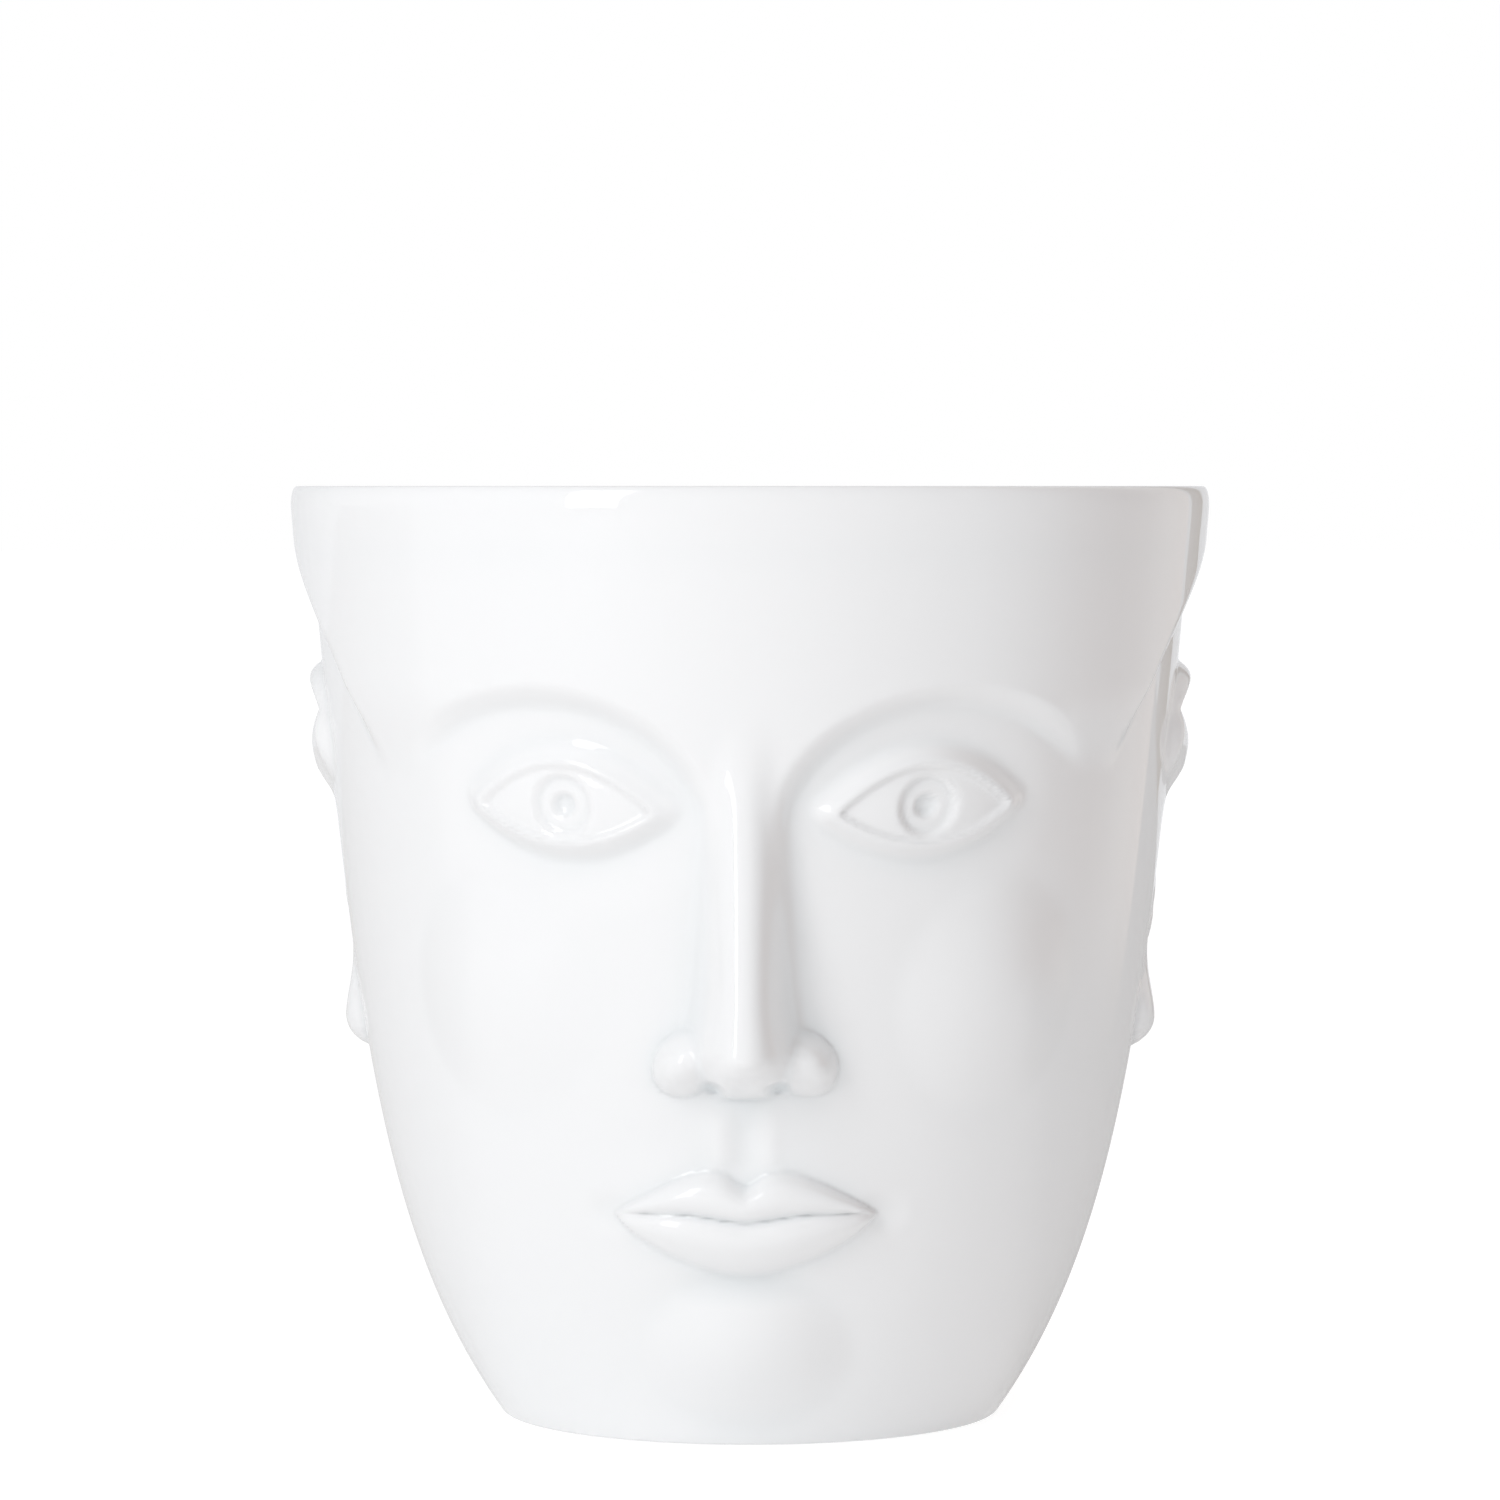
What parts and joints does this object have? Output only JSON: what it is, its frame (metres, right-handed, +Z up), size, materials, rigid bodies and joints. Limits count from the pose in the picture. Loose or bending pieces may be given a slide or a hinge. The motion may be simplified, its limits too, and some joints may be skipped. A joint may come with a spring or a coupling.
{
  "type": "face vase",
  "caption": "Wide round porcelain vase that flares from a small base to a raised rim band, with a calm face in relief on its front and an ear on each side.",
  "frame": {"origin": "on the vessel's axis, in the plane of the foot ring that the vase stands on", "axes": "+Z up along the vessel's axis; the face looks along -Y; +X is the face's own left"},
  "size_m": [0.2278, 0.2335, 0.23],
  "materials": {
    "glaze": "high gloss clear glaze over white porcelain",
    "bisque": "unglazed porcelain, matt and finely ground"
  },
  "bodies": {
    "root": {"vessel_body": "glaze", "foot_ring": "bisque", "forehead": "glaze", "nose_ridge": "glaze", "upper_lip": "glaze", "lower_lip": "glaze", "chin": "glaze", "left_nose_wing": "glaze", "right_nose_wing": "glaze", "left_eyeball": "glaze", "right_eyeball": "glaze", "left_upper_eyelid": "glaze", "right_upper_eyelid": "glaze", "left_lower_eyelid": "glaze", "right_lower_eyelid": "glaze", "left_cheek": "glaze", "right_cheek": "glaze", "left_ear": "glaze", "right_ear": "glaze"}
  },
  "joints": []
}
